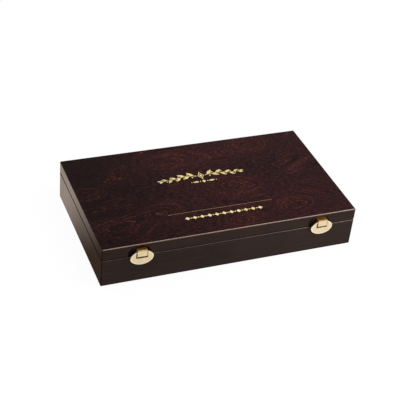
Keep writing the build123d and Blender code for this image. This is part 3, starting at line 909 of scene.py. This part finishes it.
def sprig():
    """The right half of the ornament: a swaying stem with leaves and berries."""
    upper, lower = [], []
    steps = 4 * CURVE_STEPS
    for step in range(steps + 1):
        share = step / steps
        upright = stem_angle(share) + math.pi / 2
        half = STEM_HALF_WIDTH * (1 - STEM_TAPER * share)
        upper.append(moved(*stem_point(share), upright, half))
        lower.append(moved(*stem_point(share), upright, -half))
    outlines = [upper + lower[::-1]]
    for index in range(SPRIG_LEAVES):
        share = (index + FIRST_LEAF) / SPRIG_LEAVES
        side = 1 if index % 2 == 0 else -1
        x, y = stem_point(share)
        angle = stem_angle(share)
        length = LEAF_LENGTH - LEAF_LENGTH_LOSS * share
        outlines += leaf(x, y, angle + side * LEAF_TURN, length, LEAF_WIDTH_SHARE * length)
        reach = BERRY_REACH - BERRY_REACH_LOSS * share
        radius = BERRY_RADIUS - BERRY_RADIUS_LOSS * share
        outlines.append(dot(*moved(x, y, angle - side * BERRY_TURN, reach), radius))
    end_x, end_y = stem_point(1.0)
    outlines += leaf(end_x - TIP_OVERLAP, end_y, stem_angle(1.0), TIP_LENGTH, TIP_WIDTH)
    return outlines


def both_sides(outlines):
    """The outlines and their mirror images."""
    return outlines + [[(-x, y) for x, y in outline] for outline in outlines]


def in_metres(outlines):
    """The outlines with their points in metres."""
    return [[(MM * x, MM * y) for x, y in outline] for outline in outlines]


def plates(name, outlines, rings, bottom, material):
    """Thin flat plates: one for each closed outline, and one for each pair of a ring's outlines."""
    levels = (bottom, bottom + FOIL_THICKNESS)
    points, faces = [], []
    for outline in outlines:
        low, count = len(points), len(outline)
        high = low + count
        points.extend((x, y, z) for z in levels for x, y in outline)
        faces += [tuple(range(low, high)), tuple(range(high, high + count))]
        for index in range(count):
            after = (index + 1) % count
            faces.append((low + index, low + after, high + after, high + index))
    for outer, inner in rings:
        first, count = len(points), len(outer)
        points.extend((x, y, z) for z in levels for x, y in (*outer, *inner))
        low_out, low_in, high_out, high_in = (first + loop * count for loop in range(4))
        bands = ((low_out, low_in), (high_out, high_in), (low_out, high_out), (low_in, high_in))
        for index in range(count):
            after = (index + 1) % count
            for near, far in bands:
                faces.append((near + index, near + after, far + after, far + index))
    return mesh_object(name, points, faces, material)


def add_foil():
    """The gold stamping on the lid: a ruled line, a sprig above it and a border below it."""
    outlines = both_sides(sprig())
    outlines.append(lozenge(0.0, SPRIG_Y, HEART_SIZE))
    ring = [lozenge(0.0, SPRIG_Y, size) for size in HEART_RING]
    outlines.append(lozenge(0.0, MARK_Y, MARK_SIZE))
    outlines += both_sides([dot(MARK_DOT_X, MARK_Y, MARK_DOT_RADIUS)])
    outlines += both_sides(leaf(MARK_LEAF_X, MARK_Y, 0.0, MARK_LEAF_LENGTH, MARK_LEAF_WIDTH))
    outlines += both_sides([dot(MARK_END_X, MARK_Y, MARK_END_RADIUS)])
    for index in range(-BORDER_HALF_COUNT, BORDER_HALF_COUNT + 1):
        outlines.append(lozenge(index * BORDER_PITCH, BORDER_Y, BORDER_SIZE))
    for index in range(BORDER_HALF_COUNT):
        outlines += both_sides([dot((index + 0.5) * BORDER_PITCH, BORDER_Y, BORDER_DOT_RADIUS)])
    rule_low, rule_high = RULE_Y - RULE_WIDTH / 2, RULE_Y + RULE_WIDTH / 2
    outlines.append([
        (-RULE_HALF_LENGTH, rule_low),
        (RULE_HALF_LENGTH, rule_low),
        (RULE_HALF_LENGTH, rule_high),
        (-RULE_HALF_LENGTH, rule_high),
    ])
    lid_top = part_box("lid_top_panel")[1].z
    foil = plates("lid_foil", in_metres(outlines), [in_metres(ring)], lid_top, gold_foil())
    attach(foil, "lid")


# Lining: the pad before it swells, and what holds it back, in metres, kilograms for each point and
# shares of its height
PAD_INSET = 0.004
PAD_BOTTOM_SHARE = 0.35
PAD_GLUED_SHARE = 0.3
PAD_VOXEL = 0.006
PAD_FRAMES = 20
PAD_QUALITY = 5
PAD_MASS = 0.2
PAD_PRESSURE = 4.0
PAD_CAP = 0.008
SEAM_INSET = 0.020
SEAM_DEPTH = 0.0026
SEAM_REACH = 0.0042


def box_shape(low, high):
    """Corners and faces of a box."""
    corners = [(x, y, z) for z in (low.z, high.z) for y in (low.y, high.y) for x in (low.x, high.x)]
    faces = [(0, 1, 3, 2), (4, 5, 7, 6), (0, 1, 5, 4), (2, 3, 7, 6), (0, 2, 6, 4), (1, 3, 7, 5)]
    return corners, faces


def swell(piece, glued_above):
    """Blows the pad up as padding does, with cloth simulation; its back stays glued to the lid."""
    scene = bpy.context.scene
    glued = piece.vertex_groups.new(name="glued")
    back = [vertex.index for vertex in piece.data.vertices if vertex.co.z > glued_above]
    glued.add(back, 1.0, "REPLACE")
    before = [vertex.co.copy() for vertex in piece.data.vertices]
    settings = piece.modifiers.new("cloth", "CLOTH").settings
    settings.quality = PAD_QUALITY
    settings.mass = PAD_MASS
    settings.vertex_group_mass = "glued"
    settings.use_pressure = True
    settings.uniform_pressure_force = PAD_PRESSURE
    settings.effector_weights.gravity = 0.0
    for step in range(1, PAD_FRAMES + 1):
        scene.frame_set(step)
    mesh = baked(piece)
    scene.frame_set(1)
    swap_mesh(piece, mesh)
    piece.vertex_groups.clear()
    for vertex, start in zip(piece.data.vertices, before):
        travel = vertex.co - start
        if travel.length > PAD_CAP:
            vertex.co = start + travel * (PAD_CAP / travel.length)


def seam_depth(x, y, low, high):
    """How deep the sewn seam pulls the cloth in, by the distance from its line."""
    from_edge = min(x - low.x, high.x - x, y - low.y, high.y - y)
    away = (from_edge - SEAM_INSET) / SEAM_REACH
    return SEAM_DEPTH * math.exp(-away * away)


def add_lining():
    """The padded cloth lining of the lid, crowned below and flat against the lid's top."""
    low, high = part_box("lid_lining")
    height = high.z - low.z
    pad_low = low + Vector((PAD_INSET, PAD_INSET, PAD_BOTTOM_SHARE * height))
    corners, faces = box_shape(pad_low, high - Vector((PAD_INSET, PAD_INSET, 0.0)))
    lining = mesh_object("lid_padded_lining", corners, faces, lining_cloth())
    remesh = lining.modifiers.new("voxels", "REMESH")
    remesh.mode = "VOXEL"
    remesh.voxel_size = PAD_VOXEL
    swap_mesh(lining, baked(lining))
    swell(lining, high.z - PAD_GLUED_SHARE * height)
    divide = lining.modifiers.new("divide", "SUBSURF")
    divide.levels = divide.render_levels = 1
    swap_mesh(lining, baked(lining))
    middle = (low.z + high.z) / 2
    for vertex in lining.data.vertices:
        place = vertex.co
        if place.z < middle:
            place.z += seam_depth(place.x, place.y, low, high)
        for axis in (X, Y, Z):
            place[axis] = min(max(place[axis], low[axis]), high[axis])
    shade_smooth(lining)
    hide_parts("lid_lining")
    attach(lining, "lid")


# Ribbon: its route from the anchor at the trough's end, along the trough's floor to the free end,
# as distance from the end wall and height above the floor, in millimetres
RIBBON_ROUTE = (
    (0.45, 12.0), (0.45, 9.0), (0.45, 5.0), (0.50, 2.2), (1.6, 0.55), (4.5, 0.40), (10.0, 0.40),
    (16.0, 0.90), (22.0, 1.9), (28.0, 1.5), (33.0, 0.55), (38.0, 0.60), (42.5, 1.9), (46.5, 4.0),
)
RIBBON_ROUNDS = 3
CORNER_CUT = 0.25

# Ribbon: its size and the depth of the notch in its free end, in millimetres; how high its middle
# stands over its edges and the run after which it does so; and its columns of faces
RIBBON_WIDTH = 12.0
RIBBON_THICKNESS = 0.35
RIBBON_NOTCH = 4.0
RIBBON_CUP = 0.25
RIBBON_CUP_RUN = 20.0
RIBBON_COLUMNS = 8


def rounded(points):
    """An open line with its corners cut again and again until it is smooth."""
    for _ in range(RIBBON_ROUNDS):
        finer = [points[0]]
        for start, end in zip(points, points[1:]):
            for share in (CORNER_CUT, 1 - CORNER_CUT):
                finer.append(tuple((1 - share) * a + share * b for a, b in zip(start, end)))
        finer.append(points[-1])
        points = finer
    return points


def ribbon_points(line, total, wall, floor, side):
    """Rows of points across the ribbon, one row for each point of its line."""
    run = 0.0
    for row, (inward, up) in enumerate(line):
        run += math.dist(line[row - 1], line[row]) if row else 0.0
        near_end = max(0.0, 1 - (total - run) / RIBBON_NOTCH)
        for column in range(RIBBON_COLUMNS + 1):
            across = 2 * column / RIBBON_COLUMNS - 1
            notch = RIBBON_NOTCH * near_end * (1 - abs(across))
            cup = RIBBON_CUP * (1 - across * across) * min(1.0, run / RIBBON_CUP_RUN)
            y = wall - side * MM * (inward - notch)
            yield MM * RIBBON_WIDTH / 2 * across, y, floor + MM * (up + cup)


def add_ribbon(name, side, material):
    """A satin ribbon that hangs into the trough and lies along its floor, its end curling up."""
    low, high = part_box(name)
    line = rounded(RIBBON_ROUTE)
    total = sum(math.dist(a, b) for a, b in zip(line, line[1:]))
    wall = high.y if side > 0 else low.y
    points = list(ribbon_points(line, total, wall, low.z, side))
    faces = []
    stride = RIBBON_COLUMNS + 1
    for row in range(len(line) - 1):
        for column in range(RIBBON_COLUMNS):
            corner = row * stride + column
            faces.append((corner, corner + 1, corner + stride + 1, corner + stride))
    ribbon = mesh_object(name + "_satin", points, faces, material)
    shade_smooth(ribbon)
    solidify = ribbon.modifiers.new("thickness", "SOLIDIFY")
    solidify.thickness = MM * RIBBON_THICKNESS
    solidify.offset = 0.0
    swap_mesh(ribbon, baked(ribbon))
    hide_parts(name)
    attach(ribbon, "base")


# Camera: where it stands around the case, and what it sees of it
PICTURE_SIDE = 416
FOCAL_PIXELS = 1065.3
SENSOR_WIDTH = 36.0
CAMERA_AZIMUTH = math.radians(-24.80)
CAMERA_ELEVATION = math.radians(36.11)
CAMERA_ROLL = math.radians(6.36)
CAMERA_DISTANCE = 1.6686
CAMERA_ASIDE = 0.0080
CAMERA_UP = 0.0166
CAMERA_CLIP = (0.05, 50.0)


def add_camera():
    """The camera at the photograph's angle."""
    azimuth, elevation, roll = CAMERA_AZIMUTH, CAMERA_ELEVATION, CAMERA_ROLL
    back = Vector((
        math.sin(azimuth) * math.cos(elevation),
        -math.cos(azimuth) * math.cos(elevation),
        math.sin(elevation),
    ))
    level_right = (-back).cross(Vector((0, 0, 1))).normalized()
    level_up = level_right.cross(-back)
    right = level_right * math.cos(roll) + level_up * math.sin(roll)
    up = -level_right * math.sin(roll) + level_up * math.cos(roll)
    place = back * CAMERA_DISTANCE + right * CAMERA_ASIDE + up * CAMERA_UP
    data = bpy.data.cameras.new("camera")
    data.sensor_width = SENSOR_WIDTH
    data.lens = FOCAL_PIXELS * SENSOR_WIDTH / PICTURE_SIDE
    data.clip_start, data.clip_end = CAMERA_CLIP
    camera = add_object("camera", data)
    turn = Matrix((right, up, back)).transposed()
    camera.matrix_world = Matrix.Translation(place) @ turn.to_4x4()
    bpy.context.scene.camera = camera


# Studio: each soft box's name, place, width and height in metres, and power in watts, the place
# that they all face, and how bright the room is, to surfaces and in what they mirror
SOFT_BOXES = (
    ("overhead", (0.50, -0.30, 1.40), (1.0, 1.5), 24.0),
    ("rear_left", (-0.62, 0.62, 1.35), (0.7, 0.5), 9.0),
    ("front_right", (0.52, -0.50, 0.32), (0.35, 0.3), 1.5),
)
SOFT_BOX_TARGET = (0.0, 0.0, 0.03)
WHITE = rgb(1.0, 1.0, 1.0)
ROOM_COLOUR = rgb(0.97, 0.98, 1.0)
ROOM_LEVEL = 0.2
ROOM_MIRROR_SHARE = 0.05

# Table top: half its side in metres, and where it fades into the white of the room
FLOOR_HALF = 3.0
FLOOR_FADE_START = 0.4
FLOOR_FADE_END = 1.2

# Table top: its paint, and the share of its brightness that no shadow darkens, to the camera and in
# reflections
FLOOR_DARK = rgb(0.86, 0.86, 0.86)
FLOOR_LIGHT = rgb(0.90, 0.90, 0.90)
FLOOR_GLOW = 0.95
FLOOR_MIRROR_SHARE = 1.0

# Table top: what polished wood and brass mirror of it, with the case's shadow and a pool of light
# painted in. In front it brightens from left to right, and beyond the left side it darkens from
# back to front; the places are in metres
MIRRORED_FRONT_LEFT = rgb(0.90, 0.88, 0.85)
MIRRORED_FRONT_RIGHT = rgb(1.00, 0.97, 0.95)
FRONT_LEFT = -0.17
FRONT_RIGHT = 0.15
MIRRORED_SIDE = rgb(1.22, 1.01, 0.87)
MIRRORED_SHADE = rgb(0.13, 0.070, 0.050)
SHADE_X = -0.1995
SHADE_SOFTNESS = 0.001
SHADE_FRONT = -0.05
SHADE_BACK = 0.13


def area_light(name, place, size, power):
    """A rectangular soft box that faces the case."""
    data = bpy.data.lights.new(name, "AREA")
    data.shape = "RECTANGLE"
    data.size, data.size_y = size
    data.energy = power
    light = add_object(name, data)
    away = Vector(place) - Vector(SOFT_BOX_TARGET)
    light.rotation_euler = away.to_track_quat("Z", "Y").to_euler()
    light.location = place


def seen_share(graph, glossy):
    """How much of the white background a ray sees: all for the camera, a share for reflections."""
    path = graph.add("ShaderNodeLightPath")
    seen = graph.math("MAXIMUM", path.outputs["Is Camera Ray"], path.outputs["Is Transmission Ray"])
    return graph.math("MAXIMUM", seen, graph.times(path.outputs["Is Glossy Ray"], glossy))


def light_the_studio():
    """A dim even room, white to the camera, with soft boxes overhead, behind and in front."""
    world = bpy.data.worlds.new("studio")
    bpy.context.scene.world = world
    world.use_nodes = True
    graph = Graph.around(world.node_tree)
    room = graph.add("ShaderNodeBackground", {"Color": ROOM_COLOUR, "Strength": ROOM_LEVEL})
    white = graph.add("ShaderNodeBackground", {"Color": WHITE})
    share = seen_share(graph, ROOM_MIRROR_SHARE)
    both = graph.add("ShaderNodeMixShader", {"Fac": share, 1: room.outputs[0], 2: white.outputs[0]})
    graph.add("ShaderNodeOutputWorld", {"Surface": both.outputs[0]})
    for box in SOFT_BOXES:
        area_light(*box)


def mirrored_tone(graph, place):
    """What wood and brass mirror of the table top, by the place on it, with a painted shadow and a
    painted pool of light.
    """
    aside, deep = graph.axis(place, X), graph.axis(place, Y)
    beside = graph.fade(aside, start=SHADE_X, end=SHADE_X + SHADE_SOFTNESS, low=1.0, high=0.0)
    forward = graph.fade(deep, start=SHADE_FRONT, end=SHADE_BACK, low=1.0, high=0.0)
    rightward = graph.fade(aside, start=FRONT_LEFT, end=FRONT_RIGHT)
    front = graph.mix(rightward, MIRRORED_FRONT_LEFT, MIRRORED_FRONT_RIGHT)
    side = graph.mix(forward, MIRRORED_SIDE, MIRRORED_SHADE)
    return graph.mix(beside, front, side)


def table_top():
    """White paint that keeps a soft shadow and shows white to the camera."""
    graph = Graph("table_top")
    place = graph.place()
    speckle = graph.noise(place, scale=40.0)
    graph.set(
        Base_Color=graph.mix(speckle, FLOOR_DARK, FLOOR_LIGHT),
        Roughness=0.7,
        Specular_IOR_Level=0.2,
    )
    path = graph.add("ShaderNodeLightPath")
    tone = graph.mix(path.outputs["Is Glossy Ray"], WHITE, mirrored_tone(graph, place))
    glow = graph.add("ShaderNodeEmission", {"Color": tone})
    away = graph.vectors("LENGTH", place, output="Value")
    steady = graph.fade(away, start=FLOOR_FADE_START, end=FLOOR_FADE_END, low=FLOOR_GLOW)
    both = graph.add("ShaderNodeMixShader", {
        "Fac": graph.times(seen_share(graph, FLOOR_MIRROR_SHARE), steady),
        1: graph.shader.outputs["BSDF"],
        2: glow.outputs[0],
    })
    graph.put(graph.output.inputs["Surface"], both.outputs[0])
    return graph.material


def add_floor():
    """The table top that the case stands on."""
    mesh = bpy.data.meshes.new("floor")
    corners = [(x * FLOOR_HALF, y * FLOOR_HALF, 0) for x, y in ((-1, -1), (1, -1), (1, 1), (-1, 1))]
    mesh.from_pydata(corners, [], [(0, 1, 2, 3)])
    mesh.materials.append(table_top())
    floor = add_object("floor", mesh)


add_camera()
light_the_studio()
add_floor()
dress_cad_nodes()
add_foil()
add_lining()
ribbon_satin = satin_ribbon()
add_ribbon("lift_ribbon_front", -1, ribbon_satin)
add_ribbon("lift_ribbon_back", 1, ribbon_satin)
bpy.context.scene.view_settings.view_transform = "Standard"
